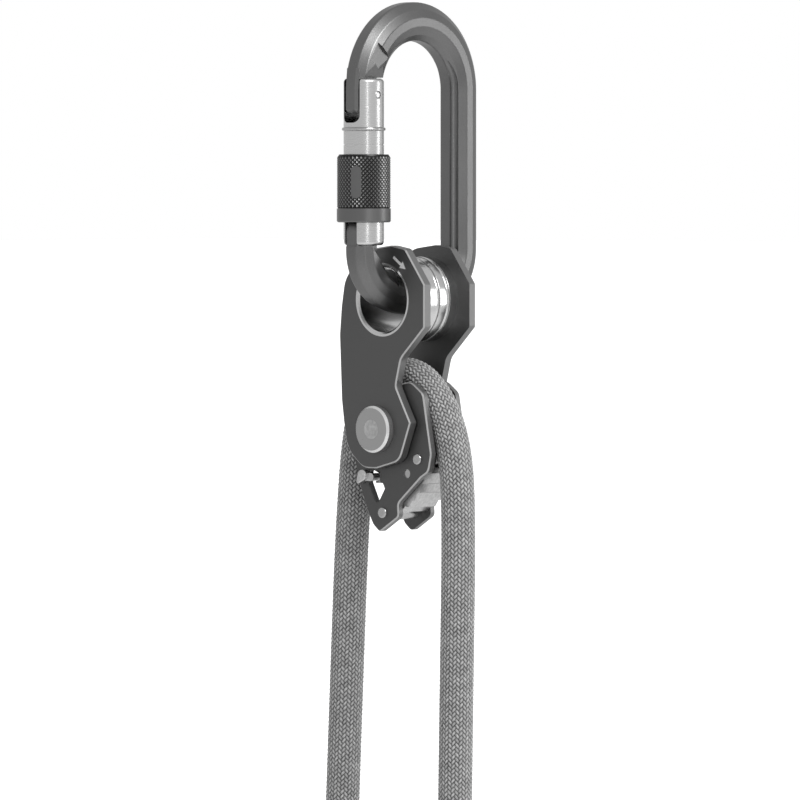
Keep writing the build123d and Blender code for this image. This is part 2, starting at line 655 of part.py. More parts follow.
# ---------------------------------------------------------------- cheeks
cheek_face = rounded_face(CHEEK_OUTLINE, CHEEK_CORNERS)
window_face = rounded_face(WINDOW, [WINDOW_CORNER] * len(WINDOW))
for name, low in (("front_cheek", -CHEEK_OUT), ("back_cheek", CHEEK_IN)):
    with BuildPart() as cheek:
        with BuildSketch(axle_plane(low + CHEEK)):
            add(cheek_face)
        extrude(amount=CHEEK)
        outer = cheek.faces().sort_by(Axis.Y)[0 if low < 0 else -1]
        chamfer(outer.edges(), length=PLATE_CHAMFER)
        with BuildSketch(axle_plane(low + CHEEK)):
            add(window_face)
            Circle(AXLE_R + SEAT_GAP)
            with Locations(CAM_PIVOT, LOWER_RIVET):
                Circle(RIVET_R + SEAT_GAP)
            with Locations(STOP_PIN):
                Circle(STOP_PIN_R + SEAT_GAP)
        extrude(amount=CHEEK, mode=Mode.SUBTRACT)
    finish(cheek.part, name)

# ---------------------------------------------------------------- rivets and pins
for name, place in (("cam_pivot_rivet", CAM_PIVOT), ("lower_rivet", LOWER_RIVET)):
    with BuildPart() as rivet:
        with BuildSketch(axle_plane(CHEEK_OUT)):
            with Locations(place):
                Circle(RIVET_R)
        extrude(amount=2 * CHEEK_OUT)
        for head_y, head in ((CHEEK_OUT, -RIVET_HEAD), (-CHEEK_OUT, RIVET_HEAD)):
            with BuildSketch(axle_plane(head_y)):
                with Locations(place):
                    Circle(RIVET_HEAD_R)
            extrude(amount=head)
        rims = rivet.edges().filter_by(GeomType.CIRCLE).group_by(Axis.Y)
        fillet([rims[0][0], rims[-1][0]], radius=RIVET_HEAD - RIVET_RIM)
    finish(rivet.part, name)

with BuildPart() as cam_stop_pin:
    with BuildSketch(axle_plane(CHEEK_OUT - PLATE_CHAMFER)):
        with Locations(STOP_PIN):
            Circle(STOP_PIN_R)
    extrude(amount=2 * (CHEEK_OUT - PLATE_CHAMFER))
finish(cam_stop_pin.part, "cam_stop_pin")

with BuildPart() as lower_spacer:
    with BuildSketch(axle_plane(CHEEK_IN)):
        with Locations(LOWER_RIVET):
            Circle(LOWER_SPACER_R)
            Circle(RIVET_R + SEAT_GAP, mode=Mode.SUBTRACT)
    extrude(amount=2 * CHEEK_IN)
finish(lower_spacer.part, "lower_spacer")

# ---------------------------------------------------------------- toothed cam
teeth = []
for tip, following in zip(TOOTH_TIPS, TOOTH_TIPS[1:]):
    gullet = away(following, tip, -TOOTH_GULLET * math.dist(tip, following))
    teeth += [tip, away(gullet, CAM_PIVOT, -TOOTH_DEPTH)]
teeth.append(TOOTH_TIPS[-1])
cam_half = CHEEK_IN - SIDE_GAP
with BuildPart() as toothed_cam:
    with BuildSketch(axle_plane(cam_half)):
        with Locations(CAM_PIVOT):
            Circle(CAM_BOSS_R)
        with BuildLine():
            Polyline(
                (CAM_PIVOT[0] + CAM_BOSS_R, CAM_PIVOT[1]),
                (CAM_PIVOT[0] + CAM_BOSS_R - CAM_NECK[0], CAM_PIVOT[1] - CAM_NECK[1]),
                *teeth,
                *CAM_FOOT,
                (CAM_PIVOT[0] - CAM_BOSS_R, CAM_PIVOT[1]),
                close=True,
            )
        make_face()
        # Clear of the sheave, and of the stop pin over the cam's whole travel.
        Circle(SHEAVE_R + OPEN_GAP, mode=Mode.SUBTRACT)
        low, high = CAM_CLEAR
        for k in range(CAM_CLEAR_STEPS + 1):
            turned = CAM_TURN * (low + (high - low) * k / CAM_CLEAR_STEPS)
            spot = Vector(STOP_PIN[0] - CAM_PIVOT[0], STOP_PIN[1] - CAM_PIVOT[1])
            spot = spot.rotate(Axis.Z, -turned)
            with Locations((CAM_PIVOT[0] + spot.X, CAM_PIVOT[1] + spot.Y)):
                Circle(STOP_PIN_R + OPEN_GAP, mode=Mode.SUBTRACT)
    extrude(amount=2 * cam_half)
    # The boss is forked round the torsion spring, and bored for the rivet.
    with BuildSketch(axle_plane(SPRING_GAP / 2)):
        with Locations(CAM_PIVOT):
            Circle(CAM_BOSS_R + FORK_EDGE)
    extrude(amount=SPRING_GAP, mode=Mode.SUBTRACT)
    with BuildSketch(axle_plane(cam_half)):
        with Locations(CAM_PIVOT):
            Circle(RIVET_R + RUN_GAP)
    extrude(amount=2 * cam_half, mode=Mode.SUBTRACT)
    # Stem through the front cheek's window, and the thumb stud on it.
    with BuildSketch(axle_plane(STUD_ROOT - cam_half)):
        with Locations(STUD_STEM):
            Circle(STUD_STEM_R)
    extrude(amount=CHEEK_OUT + OPEN_GAP + STUD_WEB - cam_half + STUD_ROOT)
    with BuildSketch(axle_plane(cam_half)):
        Circle(SHEAVE_R + OPEN_GAP)
    extrude(amount=2 * cam_half, mode=Mode.SUBTRACT)
    with BuildSketch(axle_plane(-CHEEK_OUT - OPEN_GAP)):
        with Locations(STUD_STEM):
            Circle(STUD_STEM_R)
            Rectangle(
                STUD_STEM[0] - STUD_HEAD[1][0] + 2 * STUD_STEM_R, 2 * STUD_STEM_R,
                align=(Align.MAX, Align.CENTER),
            )
    extrude(amount=STUD_WEB)
    with BuildSketch(axle_plane(-CHEEK_OUT - OPEN_GAP)):
        add(rounded_face(STUD_HEAD, STUD_CORNERS))
    extrude(amount=STUD_HEIGHT)
    fillet(toothed_cam.faces().sort_by(Axis.Y)[0].edges(), radius=STUD_EDGE)
finish(toothed_cam.part, "toothed_cam")

coil_r = RIVET_R + SIDE_GAP + CAM_WIRE / 2
with BuildPart() as cam_spring:
    with BuildLine():
        cam_coil = Helix(
            pitch=1.25 * CAM_WIRE, height=SPRING_GAP - CAM_WIRE - 2 * SIDE_GAP,
            radius=coil_r,
            center=(
                AXLE_X + CAM_PIVOT[0],
                -SPRING_GAP / 2 + CAM_WIRE / 2 + SIDE_GAP,
                AXLE_Z + CAM_PIVOT[1],
            ),
            direction=(0, 1, 0),
        )
    with BuildSketch(Plane(origin=cam_coil @ 0, x_dir=(0, 1, 0), z_dir=cam_coil % 0)):
        Circle(CAM_WIRE / 2)
    sweep(is_frenet=True)
finish(cam_spring.part, "cam_spring")

# ---------------------------------------------------------------- rope
corners = [Vector(AXLE_X + x, 0, AXLE_Z + z) for x, z in ROPE_ROUTE]
bend_radii = []
for before, here, after in zip(corners, corners[1:], corners[2:]):
    turn = (here - before).get_angle(after - here)
    run = min((here - before).length, (after - here).length)
    bend_radii.append(0.45 * run / math.tan(math.radians(turn / 2)))
print("rope bends, mm:", [round(r, 1) for r in bend_radii])

with BuildPart() as rope:
    with BuildLine():
        rope_line = FilletPolyline(*corners, radius=bend_radii)
    with BuildSketch(
        Plane(origin=rope_line @ 0, x_dir=(0, 1, 0), z_dir=rope_line % 0)
    ):
        Circle(ROPE_R)
    sweep()
print(
    "rope length, mm:", round(rope_line.length, 1),
    "volume against section times length:",
    round(rope.part.volume / (math.pi * ROPE_R**2 * rope_line.length), 4),
)
finish(rope.part, "rope")

# Shrunk end sleeves over the two rope ends.
for name, end, inward in (
    ("rope_end_left", corners[0], corners[1]),
    ("rope_end_right", corners[-1], corners[-2]),
):
    along = (inward - end).normalized()
    with BuildPart() as end_sleeve:
        with BuildSketch(
            Plane(origin=end - along * END_CAP, x_dir=(0, 1, 0), z_dir=along)
        ):
            Circle(END_SLEEVE_R)
        extrude(amount=END_SLEEVE_LENGTH + END_CAP)
        with BuildSketch(Plane(origin=end, x_dir=(0, 1, 0), z_dir=along)):
            Circle(ROPE_R)
        extrude(amount=END_SLEEVE_LENGTH, mode=Mode.SUBTRACT)
    finish(end_sleeve.part, name)
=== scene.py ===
import math

import bpy
import numpy as np
from bpy.props import FloatProperty, FloatVectorProperty, IntProperty, PointerProperty
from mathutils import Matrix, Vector


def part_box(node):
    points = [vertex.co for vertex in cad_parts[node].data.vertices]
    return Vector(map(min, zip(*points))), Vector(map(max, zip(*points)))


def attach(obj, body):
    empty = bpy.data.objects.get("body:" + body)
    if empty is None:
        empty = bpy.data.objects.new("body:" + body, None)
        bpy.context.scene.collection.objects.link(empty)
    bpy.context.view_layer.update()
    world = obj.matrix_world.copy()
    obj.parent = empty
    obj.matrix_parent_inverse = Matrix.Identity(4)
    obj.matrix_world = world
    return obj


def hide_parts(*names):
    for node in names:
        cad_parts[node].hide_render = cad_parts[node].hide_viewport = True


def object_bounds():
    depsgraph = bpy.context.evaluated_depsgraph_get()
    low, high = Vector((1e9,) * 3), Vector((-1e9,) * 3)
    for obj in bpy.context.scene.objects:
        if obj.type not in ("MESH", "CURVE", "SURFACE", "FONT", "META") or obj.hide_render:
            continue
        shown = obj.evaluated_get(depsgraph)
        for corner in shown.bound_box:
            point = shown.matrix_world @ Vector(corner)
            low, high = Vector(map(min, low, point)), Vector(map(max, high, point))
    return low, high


bl_info = {
    "name": "Rope Pulley",
    "version": (1, 0, 0),
    "blender": (4, 5, 0),
    "location": "View3D > Sidebar > Rope Pulley",
    "description": "Finishes a rope pulley that hangs in a screw-gate carabiner",
    "category": "Object",
}

MM = 0.001

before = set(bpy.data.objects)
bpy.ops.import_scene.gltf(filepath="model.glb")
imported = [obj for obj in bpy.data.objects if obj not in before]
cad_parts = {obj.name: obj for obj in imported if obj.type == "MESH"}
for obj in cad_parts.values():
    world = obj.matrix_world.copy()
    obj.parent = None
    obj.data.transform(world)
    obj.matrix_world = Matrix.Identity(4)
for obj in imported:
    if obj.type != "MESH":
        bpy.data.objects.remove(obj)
CAD_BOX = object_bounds()

# Reach within which a vertex counts as lying on a line, and depth of the metals' grain.
NEAR = 0.01 * MM
GRAIN_DEPTH = 0.03 * MM


# ---------------------------------------------------------------- places from the frame
def centre_of(node):
    """The middle of a CAD piece's box."""
    low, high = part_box(node)
    return (low + high) / 2


def radius_of(node):
    """Half the width of a CAD piece that is round seen from above."""
    low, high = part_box(node)
    return (high.x - low.x) / 2


SLEEVE_LOW, SLEEVE_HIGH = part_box("screw_sleeve")
SLEEVE_AXIS = centre_of("screw_sleeve")
SLEEVE_R = radius_of("screw_sleeve")
RING_R = radius_of("gate_snap_ring")
GATE = centre_of("gate")
GATE_R = radius_of("gate")
PLATE_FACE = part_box("front_side_plate")[0].y
AXLE = centre_of("sheave_axle")
EYE = centre_of("eye_spool")

# ---------------------------------------------------------------- fixed sizes
# The rope's centreline, right and up from the axle, from its left end to its right end.
ROPE_ROUTE = [
    (-27.9, -142.0), (-26.3, -108.0), (-24.6, -72.0), (-23.1, -42.0),
    (-21.5, -21.0), (-19.9, -6.0), (-16.7, 8.1), (-6.9, 17.2), (6.4, 17.4),
    (14.9, 10.3), (20.2, 1.8), (23.3, -8.4), (24.5, -20.5), (24.7, -40.0),
    (24.2, -66.0), (23.5, -101.5), (22.9, -137.0),
]

# The rope's mesh: points round it for each column, and rings for each strand pitch.
POINTS_PER_COLUMN = 4
RINGS_PER_PITCH = 7.5

# The sleeve's rounded rims, its clearance round the gate and round the snap ring, and the
# length of its narrow bore at the lower end, above which it is wide enough for the ring.
RIM = 0.5 * MM
GATE_GAP = 0.1 * MM
RING_GAP = 0.15 * MM
NARROW_BORE = 10.0 * MM

# The smooth pad: how far its middle lies above the sleeve's and its face below the knurl's
# points, and its wall.
PAD_RISE = 2.0 * MM
PAD_SINK = 0.06 * MM
PAD_WALL = 0.5 * MM

# Angles between faces past which an edge stays crisp.
KNURL_CREASE = math.radians(22)
PAD_CREASE = math.radians(40)

# The arrow's two ends, right and up from the eye's middle, and its sizes. The head's width
# is given in widths of the shaft, and the point's in widths of the head.
ARROW_TAIL = (5.0 * MM, 13.6 * MM)
ARROW_TIP = (10.3 * MM, 9.8 * MM)
ARROW_SHAFT = 0.9 * MM
ARROW_HEAD = 2.4 * MM
HEAD_SPREAD = 2.8
POINT_SPREAD = 0.04
PAINT = 0.04 * MM

# Each lamp's place from the middle of the view, and its width and height, in metres.
LAMPS = {
    "key": ((0.85, -0.1, 0.75), (0.5, 0.5)),
    "strip": ((0.95, -0.46, 0.1), (0.05, 0.7)),
    "edge": ((0.7, 0.73, 0.1), (0.16, 0.5)),
}

# The floor's side in metres and its glow to the camera, and the sensor in millimetres.
FLOOR_SIZE = 80
FLOOR_GLOW = 0.75
SENSOR_WIDTH = 36


def grey(level):
    """A neutral colour, as light as an sRGB grey of that level, 0 to 1."""
    value = level / 12.92 if level <= 0.04045 else ((level + 0.055) / 1.055) ** 2.4
    return (value, value, value)


# ---------------------------------------------------------------- settings
def length(name, description, default):
    return FloatProperty(
        name=name, description=description, default=default, unit="LENGTH", precision=5
    )


def colour(name, description, default):
    return FloatVectorProperty(
        name=name, description=description, default=default, subtype="COLOR",
        min=0, max=1,
    )


class StageSettings(bpy.types.PropertyGroup):
    """The camera's place, the lamps and the floor."""

    azimuth: FloatProperty(
        name="Azimuth", description="Camera's turn from the front plate's side",
        default=math.radians(44.2), subtype="ANGLE",
    )
    tilt: FloatProperty(
        name="Tilt", description="Camera's downward tilt",
        default=math.radians(1.56), subtype="ANGLE",
    )
    distance: length("Distance", "From the camera to the middle of its view", 2.6)
    view_height: length("View height", "Height that the picture shows there", 0.255)
    aim: FloatVectorProperty(
        name="Aim", description="Middle of the view", subtype="TRANSLATION",
        default=(-0.0019, -0.0018, -0.1144),
    )
    floor_drop: length("Floor drop", "Floor below the lowest piece", 0.22)
    key: FloatProperty(
        name="Key", description="High lamp on the right, watts", default=8.0
    )
    strip: FloatProperty(
        name="Strip", description="Narrow upright lamp, watts", default=0.4
    )
    edge: FloatProperty(
        name="Edge", description="Lamp behind on the right, watts", default=0.9
    )
    ambient: FloatProperty(
        name="Ambient", description="Level of the room as a light", default=0.8
    )
    shine: FloatProperty(
        name="Shine", description="Level of the room in reflections", default=0.65
    )


class RopeSettings(bpy.types.PropertyGroup):
    """The braided rope."""

    diameter: length("Diameter", "Over the braid", 11 * MM)
    strand_pitch: length("Strand pitch", "One strand's repeat along the rope", 3.0 * MM)
    columns: IntProperty(
        name="Columns", description="Columns of stitches round the rope", default=28
    )
    relief: length("Relief", "Depth of the braid's gaps", 0.55 * MM)
    light: colour("Yarn", "Raised yarns", grey(0.66))
    # The gaps' colour is painted shade.
    dark: colour("Gaps", "Shaded gaps between the strands", grey(0.28))


class SleeveSettings(bpy.types.PropertyGroup):
    """The knurled screw sleeve."""

    teeth: IntProperty(name="Teeth", description="Knurls round the sleeve", default=38)
    tooth: length("Tooth depth", "Depth of the knurl", 0.42 * MM)
    band: length("Plain band", "Smooth band at the lower end", 4.4 * MM)
    pad_width: length("Pad width", "Smooth pad", 3.5 * MM)
    pad_height: length("Pad height", "Smooth pad", 10.4 * MM)
    pad_turn: FloatProperty(
        name="Pad turn", description="The pad's place round the sleeve",
        default=math.radians(27.5), subtype="ANGLE",
    )


class FinishSettings(bpy.types.PropertyGroup):
    """Colours of the metals."""

    plate: colour("Plate", "Anodised side plates", grey(0.37))
    cheek: colour("Cheek", "Anodised cheeks", grey(0.35))
    cut_edge: colour("Cut edge", "Machined edges of the plates", grey(0.50))
    chamfer: colour("Chamfer", "Bright lines along the edges", grey(0.70))
    rod: colour("Rod", "Anodised carabiner", grey(0.46))
    sleeve: colour("Sleeve", "Anodised screw sleeve", grey(0.45))
    silver: colour("Silver", "Plain aluminium gate", grey(0.84))
    steel: colour("Steel", "Axle, washers and rivets", grey(0.72))
    cast: colour("Cast steel", "Toothed cam", grey(0.76))
    bronze: colour("Bronze", "Sheave's bush", (0.45, 0.27, 0.12))
    sleeve_plastic: colour("End sleeve", "Shrunk sleeves on the rope's ends", grey(0.12))
    paint: colour("Paint", "The plate's arrow mark", grey(0.82))


# ---------------------------------------------------------------- materials
def shader_of(name, base, metallic, roughness):
    """A new node material and its shader."""
    material = bpy.data.materials.new(name)
    material.use_nodes = True
    shader = material.node_tree.nodes["Principled BSDF"]
    shader.inputs["Base Color"].default_value = (*base, 1)
    shader.inputs["Metallic"].default_value = metallic
    shader.inputs["Roughness"].default_value = roughness
    return material, shader


def add_node(material, kind, **values):
    """A node of that kind in a material or the world, with its settings and inputs."""
    node = material.node_tree.nodes.new(kind)
    for key, value in values.items():
        if key in node.inputs:
            node.inputs[key].default_value = value
        else:
            setattr(node, key, value)
    return node


def join(material, output, target):
    material.node_tree.links.new(output, target)


def math_node(material, operation, first, second=0.0):
    """A Math node; each operand is a number or another node's output."""
    node = add_node(material, "ShaderNodeMath", operation=operation)
    for socket, value in zip(node.inputs, (first, second)):
        if isinstance(value, (int, float)):
            socket.default_value = value
        else:
            join(material, value, socket)
    return node.outputs[0]


def scatter(material, texture, share):
    """A texture as a number that varies evenly about 0, by that share."""
    centred = math_node(material, "SUBTRACT", texture, 0.5)
    return math_node(material, "MULTIPLY", centred, share)


def rescale(material, value, old, new):
    """A value taken from one range to another, and held inside it."""
    node = add_node(material, "ShaderNodeMapRange")
    for name, limit in zip(("From Min", "From Max", "To Min", "To Max"), (*old, *new)):
        node.inputs[name].default_value = limit
    join(material, value, node.inputs["Value"])
    return node.outputs["Result"]


def distance_from(material, centre, weights):
    """The distance from a centre on object coordinates, with a weight for each axis."""
    place = add_node(material, "ShaderNodeTexCoord")
    shift = add_node(material, "ShaderNodeVectorMath", operation="SUBTRACT")
    shift.inputs[1].default_value = centre
    join(material, place.outputs["Object"], shift.inputs[0])
    flat = add_node(material, "ShaderNodeVectorMath", operation="MULTIPLY")
    flat.inputs[1].default_value = weights
    join(material, shift.outputs["Vector"], flat.inputs[0])
    span = add_node(material, "ShaderNodeVectorMath", operation="LENGTH")
    join(material, flat.outputs["Vector"], span.inputs[0])
    return span.outputs["Value"]


def noise(material, scale, detail=3.0, stretch=(1, 1, 1)):
    """Noise on object coordinates, stretched where a finish has a direction."""
    place = add_node(material, "ShaderNodeTexCoord")
    mapping = add_node(material, "ShaderNodeMapping", Scale=stretch)
    texture = add_node(material, "ShaderNodeTexNoise", Scale=scale, Detail=detail)
    join(material, place.outputs["Object"], mapping.inputs["Vector"])
    join(material, mapping.outputs["Vector"], texture.inputs["Vector"])
    return texture.outputs["Fac"]


def ramp(material, factor, stops):
    """A colour ramp through (place, colour) stops."""
    node = add_node(material, "ShaderNodeValToRGB")
    elements = node.color_ramp.elements
    while len(elements) < len(stops):
        elements.new(0.5)
    for element, (place, value) in zip(elements, stops):
        element.position = place
        element.color = (*value, 1)
    join(material, factor, node.inputs["Fac"])
    return node.outputs["Color"]


def shade(value, share):
    """A colour made darker or lighter by that share."""
    return tuple(min(1.0, c * share) for c in value)


def roughen(material, shader, texture, low, high):
    """Roughness that varies with a texture."""
    varied = rescale(material, texture, (0, 1), (low, high))
    join(material, varied, shader.inputs["Roughness"])


def bump(material, shader, height, strength, distance):
    node = add_node(material, "ShaderNodeBump", Strength=strength, Distance=distance)
    join(material, height, node.inputs["Height"])
    join(material, node.outputs["Normal"], shader.inputs["Normal"])


def grainy_metal(name, base, roughness, grain=2600.0, depth=0.25, spread=0.12):
    """Fine matt grain, as anodised or blasted metal has."""
    material, shader = shader_of(name, base, 1.0, roughness)
    fine = noise(material, grain)
    broad = noise(material, 60.0, 4.0)
    tone = math_node(material, "ADD", math_node(material, "MULTIPLY", fine, 0.55),
                     math_node(material, "MULTIPLY", broad, 0.45))
    tint = ramp(material, tone, [
        (0.25, shade(base, 1 - spread)), (0.5, base), (0.75, shade(base, 1 + spread)),
    ])
    join(material, tint, shader.inputs["Base Color"])
    roughen(material, shader, broad, roughness - 0.05, roughness + 0.07)
    bump(material, shader, fine, depth, GRAIN_DEPTH)
    return material


def edged_plate(name, base, edge, line, roughness=0.42):
    """An anodised plate; its normals tell its lighter cut edges and bright chamfers. On
    the plain steel washers these tones are painted light: painted shade on the faces and a
    painted highlight on the chamfers.
    """
    material, shader = shader_of(name, base, 0.9, roughness)
    place = add_node(material, "ShaderNodeTexCoord")
    axes = add_node(material, "ShaderNodeSeparateXYZ")
    join(material, place.outputs["Normal"], axes.inputs["Vector"])
    facing = math_node(material, "ABSOLUTE", axes.outputs["Y"])
    fine = noise(material, 2800.0)
    scratch = noise(material, 900.0, 5.0, (0.25, 1, 3.5))
    jittered = math_node(material, "ADD", facing, scatter(material, fine, 0.07))
    # Tones by facing. On the steel washers the darker faces are painted shade and the
    # bright chamfer lines are a painted highlight.
    tint = ramp(material, jittered, [
        (0.0, edge), (0.5, shade(edge, 1.12)), (0.64, line), (0.76, line), (0.88, base),
        (1.0, shade(base, 1.05)),
    ])
    join(material, tint, shader.inputs["Base Color"])
    roughen(material, shader, scratch, roughness - 0.07, roughness + 0.08)
    bump(material, shader, fine, 0.22, GRAIN_DEPTH)
    return material


def knurled_metal(name, base, tooth):
    """Grainy metal with painted shade toward the roots of the sleeve's knurl and a painted
    highlight band just below its points.
    """
    material = grainy_metal(name, base, 0.36)
    shader = material.node_tree.nodes["Principled BSDF"]
    radius = distance_from(material, SLEEVE_AXIS, (1, 1, 0))
    rise = rescale(material, radius, (SLEEVE_R - tooth, SLEEVE_R), (0, 1))
    # Painted shade darkens the knurl's roots, and a painted highlight lightens a band just
    # below its points.
    tint = ramp(material, rise, [
        (0.0, shade(base, 0.2)), (0.25, shade(base, 0.5)), (0.5, base),
        (0.8, shade(base, 1.3)), (0.86, base),
    ])
    join(material, tint, shader.inputs["Base Color"])
    return material


def turned_metal(name, base, roughness, centre, axis):
    """Bright metal with the fine rings that a lathe leaves round an axis."""
    material, shader = shader_of(name, base, 1.0, roughness)
    weights = tuple(0.12 if k == axis else 1.0 for k in range(3))
    radius = distance_from(material, centre, weights)
    rings = add_node(material, "ShaderNodeTexNoise", noise_dimensions="1D", Scale=7000.0)
    rings.inputs["Detail"].default_value = 4.0
    join(material, radius, rings.inputs["W"])
    lines = rings.outputs["Fac"]
    tint = ramp(material, lines, [
        (0.3, shade(base, 0.86)), (0.7, shade(base, 1.06)),
    ])
    join(material, tint, shader.inputs["Base Color"])
    roughen(material, shader, lines, roughness - 0.06, roughness + 0.1)
    bump(material, shader, lines, 0.25, GRAIN_DEPTH)
    return material


def stitches(material):
    """Height, 0 to 1, of a braid's stitches on its map, and the place across a strand.

    Two sets of strands cross, and each lies over two of the other and then under two.
    """

    def do(operation, first, second=0.0):
        return math_node(material, operation, first, second)

    def choose(test, one, other):
        return do("ADD", do("MULTIPLY", do("SUBTRACT", one, other), test), other)

    place = add_node(material, "ShaderNodeUVMap", uv_map="braid")
    axes = add_node(material, "ShaderNodeSeparateXYZ")
    join(material, place.outputs["UV"], axes.inputs["Vector"])
    columns, pitches = axes.outputs["X"], axes.outputs["Y"]
    right = do("MULTIPLY", do("ADD", pitches, columns), 2)
    left = do("MULTIPLY", do("SUBTRACT", pitches, columns), 2)
    right_strand, left_strand = do("FLOOR", right), do("FLOOR", left)
    order = do("FLOORED_MODULO", do("SUBTRACT", right_strand, left_strand), 4)
    over = do("LESS_THAN", order, 1.5)
    across = choose(over, right, left)
    reach = choose(
        over, do("ADD", do("SUBTRACT", right_strand, left), 1),
        do("SUBTRACT", do("SUBTRACT", right, left_strand), 2),
    )
    place_along = do("SUBTRACT", do("FLOORED_MODULO", reach, 4), 1)
    crown = do("SINE", do("MULTIPLY", do("FRACT", across), math.pi))
    ends = do("COSINE", do("MULTIPLY", place_along, math.pi / 2))
    height = do("SQRT", do("MAXIMUM", do("MULTIPLY", crown, ends), 0))
    cell = add_node(material, "ShaderNodeCombineXYZ")
    join(material, do("FLOOR", across), cell.inputs["X"])
    join(material, do("FLOOR", do("DIVIDE", reach, 4)), cell.inputs["Y"])
    join(material, over, cell.inputs["Z"])
    chance = add_node(material, "ShaderNodeTexWhiteNoise", noise_dimensions="3D")
    join(material, cell.outputs["Vector"], chance.inputs["Vector"])
    jittered = do("ADD", do("MULTIPLY", chance.outputs["Value"], 0.3), 0.7)
    return do("MULTIPLY", height, jittered), across


def braided_sheath(name, settings):
    """Rope yarn: light on the raised strands, with painted shade in the gaps and a painted
    highlight on the highest crowns, and fine yarn lines.
    """
    material, shader = shader_of(name, settings.light, 0.0, 0.8)
    shader.inputs["Sheen Weight"].default_value = 0.25
    shader.inputs["Sheen Roughness"].default_value = 0.5
    shader.inputs["Specular IOR Level"].default_value = 0.25
    height, across = stitches(material)
    fibre = noise(material, 3200.0, 4.0)
    broad = noise(material, 260.0, 2.0)
    level = math_node(material, "ADD", height, scatter(material, fibre, 0.4))
    level = math_node(material, "ADD", level, scatter(material, broad, 0.3))
    middle = tuple((a + b) / 2 for a, b in zip(settings.dark, settings.light))
    # Painted shade and highlight: the yarn's colour follows the stitches' height, dark in
    # the gaps and lightest on the crowns.
    tint = ramp(material, level, [
        (0.15, settings.dark), (0.42, middle), (0.75, settings.light),
        (1.0, shade(settings.light, 1.3)),
    ])
    join(material, tint, shader.inputs["Base Color"])
    threads = math_node(material, "SINE",
                        math_node(material, "MULTIPLY", across, 6 * math.pi))
    grain = math_node(material, "ADD", math_node(material, "MULTIPLY", threads, 0.08),
                      math_node(material, "MULTIPLY", fibre, 0.25))
    relief = math_node(material, "ADD", height, grain)
    bump(material, shader, relief, 0.8, 0.45 * MM)
    return material


def shrink_sleeve(name, base):
    """Matt shrunk plastic with faint wrinkles round it, and painted light on them: lighter
    ridges and darker folds.
    """
    material, shader = shader_of(name, base, 0.0, 0.5)
    wrinkle = noise(material, 500.0, 3.0, (0.4, 0.4, 2.2))
    # Painted light and shade: the colour follows the wrinkles' height, lighter on their
    # ridges and darker in their folds.
    tint = ramp(material, wrinkle, [(0.3, shade(base, 0.8)), (0.7, shade(base, 1.5))])
    join(material, tint, shader.inputs["Base Color"])
    roughen(material, shader, wrinkle, 0.42, 0.62)
    bump(material, shader, wrinkle, 0.4, 0.15 * MM)
    return material


def worn_paint(name, base):
    """Light printed paint that lets a little of the plate through."""
    material, shader = shader_of(name, base, 0.0, 0.55)
    speck = noise(material, 5200.0, 3.0)
    tint = ramp(material, speck, [(0.32, shade(base, 0.45)), (0.5, base)])
    join(material, tint, shader.inputs["Base Color"])
    bump(material, shader, speck, 0.2, 0.02 * MM)
    return material


def dress(piece, material):
    """The material on the whole piece."""
    piece.data.materials.clear()
    piece.data.materials.append(material)
    for polygon in piece.data.polygons:
        polygon.material_index = 0


# ---------------------------------------------------------------- modelling helpers
def deselect():
    bpy.ops.object.select_all(action="DESELECT")


def start_edit():
    bpy.ops.object.mode_set(mode="EDIT")


def end_edit():
    bpy.ops.object.mode_set(mode="OBJECT")


def named(name):
    """The active object, named, with its place applied to its mesh."""
    piece = bpy.context.object
    piece.name = piece.data.name = name
    bpy.ops.object.transform_apply(location=True, rotation=True, scale=True)
    return piece


def activate(piece):
    deselect()
    piece.select_set(True)
    bpy.context.view_layer.objects.active = piece


def select_in(piece, kind, test):
    """In edit mode, selects the piece's vertices, edges or faces that pass the test."""
    end_edit()
    for element in (*piece.data.vertices, *piece.data.edges, *piece.data.polygons):
        element.select = False
    for element in getattr(piece.data, kind):
        element.select = test(element)
    start_edit()
    modes = {"vertices": "VERT", "edges": "EDGE", "polygons": "FACE"}
    bpy.ops.mesh.select_mode(type=modes[kind])


def select_edges(piece, test):
    """In edit mode, selects the piece's edges whose two ends both pass the test."""
    select_in(
        piece, "edges",
        lambda e: all(test(piece.data.vertices[v].co) for v in e.vertices),
    )


def extrude(rise, side=0.0):
    """Extrudes the selected edges upward and to the right."""
    bpy.ops.mesh.extrude_edges_move(TRANSFORM_OT_translate={"value": (side, 0, rise)})


def close_edit(weld=0.0):
    """Merges doubles within a reach, turns all faces outward and leaves edit mode."""
    bpy.ops.mesh.select_all(action="SELECT")
    if weld:
        bpy.ops.mesh.remove_doubles(threshold=weld)
    bpy.ops.mesh.normals_make_consistent(inside=False)
    end_edit()


def thicken(piece, thickness):
    """Gives a sheet a wall behind its face."""
    wall = piece.modifiers.new("wall", "SOLIDIFY")
    wall.thickness = thickness
    wall.offset = -1
    bpy.ops.object.modifier_apply(modifier=wall.name)


# ---------------------------------------------------------------- rope
def route_line():
    """Points close together along the rope's spline."""
    curve = bpy.data.curves.new("rope_route", "CURVE")
    curve.dimensions = "3D"
    spline = curve.splines.new("NURBS")
    spline.points.add(len(ROPE_ROUTE) - 1)
    for point, (right, up) in zip(spline.points, ROPE_ROUTE):
        point.co = (AXLE.x + right * MM, AXLE.y, AXLE.z + up * MM, 1)
    spline.order_u = 3
    spline.use_endpoint_u = True
    spline.resolution_u = 32
    carrier = bpy.data.objects.new("rope_route", curve)
    bpy.context.scene.collection.objects.link(carrier)
    mesh = bpy.data.meshes.new_from_object(carrier)
    points = np.array([v.co for v in mesh.vertices])
    bpy.data.objects.remove(carrier)
    bpy.data.meshes.remove(mesh)
    return points


